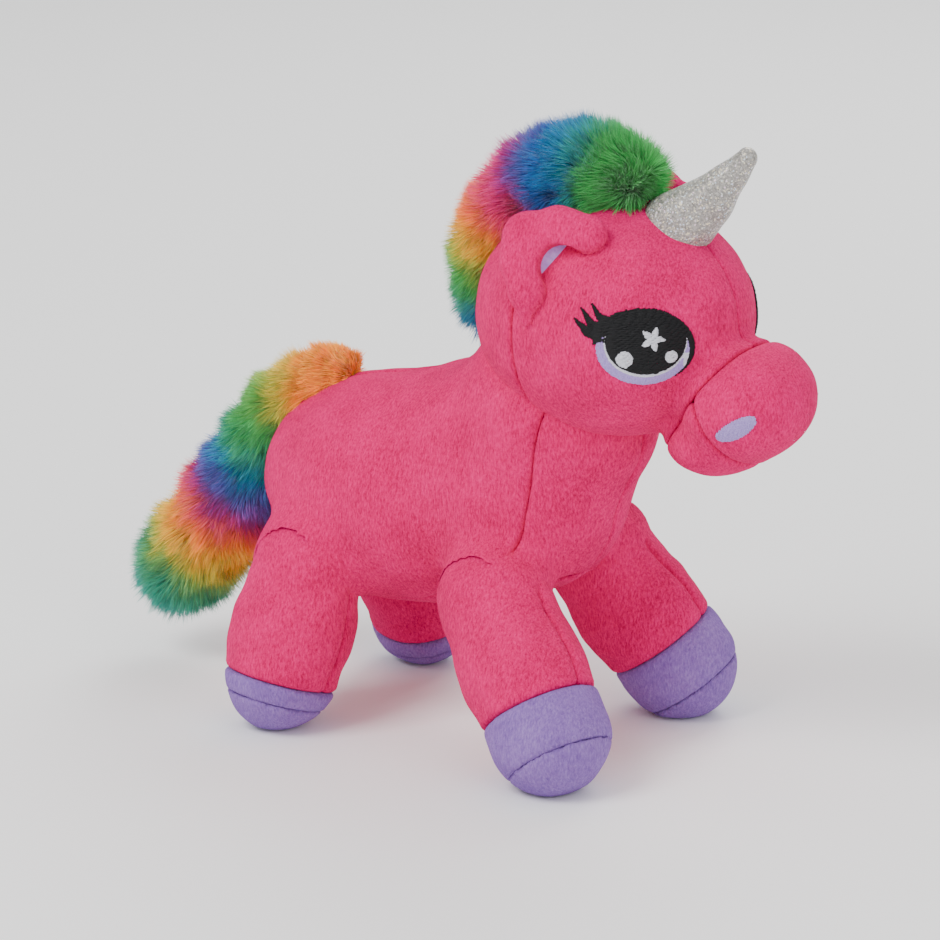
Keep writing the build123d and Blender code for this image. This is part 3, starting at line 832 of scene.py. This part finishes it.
def fur(name, line, core, pile, spread, lean, droop, count, pieces, dye, body, nodes, bands=(0, 1)):
    """A dyed core with thousands of tapered strands standing on it, in a few pieces; the core and the strand roots
    carry painted shade, the strand tips a painted highlight.
    """
    line_points, tangents, outs = line
    count = int(count * FUR_SHARE)
    t = np.clip(rng.uniform(-0.035, 1.035, count), 0, 1)
    turn = rng.uniform(-spread, spread, count)
    tangent, out = unit(along_line(tangents, t)), unit(along_line(outs, t))
    radial = out * np.cos(turn)[:, None] + SIDEWAYS * np.sin(turn)[:, None]
    length = along_line(pile, t) * rng.uniform(0.72, 1.12, count)
    rear = np.clip((t - 0.93) / 0.07, 0, 1) ** 1.5
    front = np.clip((0.06 - t) / 0.06, 0, 1) ** 1.5
    filling = 1 - np.maximum(rear, front) * rng.uniform(0, 1, count) ** 0.5
    root = along_line(line_points, t) + radial * (along_line(core, t) * filling)[:, None]
    points = strand_points(root, radial, tangent, lean + 1.4 * rear - 1.3 * front, length, droop)
    band = bands[0] + t * (bands[1] - bands[0]) + 0.02 * lumps(root, 12, 66) + rng.normal(0, 0.012, count)
    shade = np.clip(rng.normal(1.0, 0.16, count) + 0.12 * lumps(root, 5, 67), 0.55, 1.6)
    # painted shade and painted highlight: each strand's roots are darkened to 0.6 and its tip lightened to 1.25, for
    # the shade deep in the pile and the light on its tips
    shade = shade[:, None] * np.array([0.6, 1.0, 0.6, 1.0, 1.25])
    for part in range(pieces):
        mine = slice(part, count, pieces)
        own = points[mine]
        first = (np.arange(len(own)) * 5)[:, None]
        piece_name = f"{name}_strands_{part}"
        mesh = make_mesh(piece_name, own.reshape(-1, 3), first + (0, 2, 3, 1), first + (1, 3, 4))
        piece = link_piece(piece_name, mesh, MATERIALS[dye])
        attribute(piece, "band", np.repeat(np.clip(band[mine], 0, 1), 5))
        attribute(piece, "shade", shade[mine].ravel())
        finish_piece(piece, body, nodes if part == 0 else [])
    fur_core(f"{name}_cloth", line, core, dye, body, bands)


def fur_core(name, line, core, dye, body, bands):
    """The closed tube of knitted backing under the strands, darkened with painted shade."""
    line_points, _, outs = line
    stations, ring = len(line_points), 24
    t = np.linspace(0, 1, stations)
    closing = np.sqrt(np.clip(1 - (2 * t - 1) ** 12, 0.0004, 1))
    radius = (along_line(core, t) * closing * 1.05)[:, None]
    angles = np.linspace(0, 2 * math.pi, ring, endpoint=False)
    tube = np.stack([line_points + (outs * math.cos(a) + SIDEWAYS * math.sin(a)) * radius for a in angles], 1)
    index = np.arange(stations * ring).reshape(stations, ring)
    after = np.roll(index, -1, 1)
    quads = np.stack([index[:-1], after[:-1], after[1:], index[1:]], -1).reshape(-1, 4)
    mesh = make_mesh(name, tube.reshape(-1, 3), quads)
    mesh.validate()
    under = link_piece(name, mesh, MATERIALS[dye])
    attribute(under, "band", np.repeat(np.linspace(*bands, stations), ring))
    # painted shade: the backing is set to half value for the shade that falls on it under the strands
    attribute(under, "shade", np.full(stations * ring, 0.5))
    finish_piece(under, body, [])


def build_mane():
    angles = np.radians(np.linspace(*MANE_ARC, 12))
    arc = MANE_CENTRE + MANE_ARC_RADIUS * np.stack([np.cos(angles), 0 * angles, np.sin(angles)], 1)
    fur("mane", spine(arc, 60), core=[10.0, 11.0, 10.0, 9.0, 8.5], pile=[9, 10.5, 10.5, 10.5, 10],
        spread=2.1, lean=0.12, droop=0.15, count=76000, pieces=4,
        dye="mane", body="head", nodes=["mane_fur", "mane_backing"])


def build_tail():
    fur("tail", spine(TAIL_POINTS, 70), core=[5.5, 7.5, 9.5, 10.5, 9.5], pile=[8, 9.5, 10.5, 11, 10.5],
        spread=math.pi, lean=0.35, droop=0.12, count=100000, pieces=5,
        dye="tail", body="tail", nodes=["tail_fur", "tail_backing", "tail_stuffing"])


def build_tail_seat():
    """The fur around the ball that the tail turns on."""
    fur("tail_seat", spine(TAIL_SEAT_POINTS, 12), core=[5.5, 7.5, 7.5], pile=[4, 6, 7],
        spread=math.pi, lean=0.6, droop=0.1, count=9000, pieces=1,
        dye="tail", body="tail_root", nodes=["tail_root_stuffing"], bands=(0.0, 0.05))


# ------------------------------------------------------------------ stage
def build_floor():
    mesh = bpy.data.meshes.new("floor")
    mesh.from_pydata([(-4, -4, 0), (4, -4, 0), (4, 4, 0), (-4, 4, 0)], [], [(0, 1, 2, 3)])
    mat, _, _, bsdf = nodes_of("floor_paint")
    bsdf.inputs["Base Color"].default_value = (0.93, 0.93, 0.93, 1)
    bsdf.inputs["Roughness"].default_value = 0.7
    mesh.materials.append(mat)
    floor = bpy.data.objects.new("floor", mesh)
    bpy.context.scene.collection.objects.link(floor)


def build_lights():
    world = bpy.data.worlds.new("studio")
    world.use_nodes = True
    sky = world.node_tree.nodes["Background"].inputs
    sky["Color"].default_value = (1, 1, 1, 1)
    sky["Strength"].default_value = 0.9
    bpy.context.scene.world = world
    aim = Vector((0, 0, 0.09))
    for name, place, size, power in (("key", (-0.4, -1.1, 1.4), 0.8, 24), ("fill", (1.3, -0.7, 0.8), 1.0, 7),
                                     ("rim", (-0.2, 1.2, 1.1), 0.9, 12)):
        light = bpy.data.lights.new(name, "AREA")
        light.size, light.energy = size, power
        lamp = bpy.data.objects.new(name, light)
        lamp.location = place
        lamp.rotation_euler = (aim - Vector(place)).to_track_quat("-Z", "Y").to_euler()
        bpy.context.scene.collection.objects.link(lamp)


def build_camera():
    azimuth, elevation, distance = math.radians(33), math.radians(16.5), 1.5
    target = Vector((0.003, 0, 0.087))
    level = math.cos(elevation)
    away = Vector((math.sin(azimuth) * level, -math.cos(azimuth) * level, math.sin(elevation)))
    camera = bpy.data.cameras.new("camera")
    camera.sensor_width = 36
    camera.lens = 172.3
    holder = bpy.data.objects.new("camera", camera)
    holder.location = target + away * distance
    holder.rotation_euler = away.to_track_quat("Z", "Y").to_euler()
    bpy.context.scene.collection.objects.link(holder)
    bpy.context.scene.camera = holder


build_camera()
build_floor()
build_lights()
build_body()
build_skull()
build_snout()
for leg_name, (x, y, radius) in LEGS.items():
    build_leg(leg_name, x, y, radius)
build_horn()
for side_name, side_sign in SIDES:
    build_ear(side_name, side_sign)
    build_eye(side_name, side_sign)
    build_nostril(side_name, side_sign)
build_mane()
build_tail()
build_tail_seat()
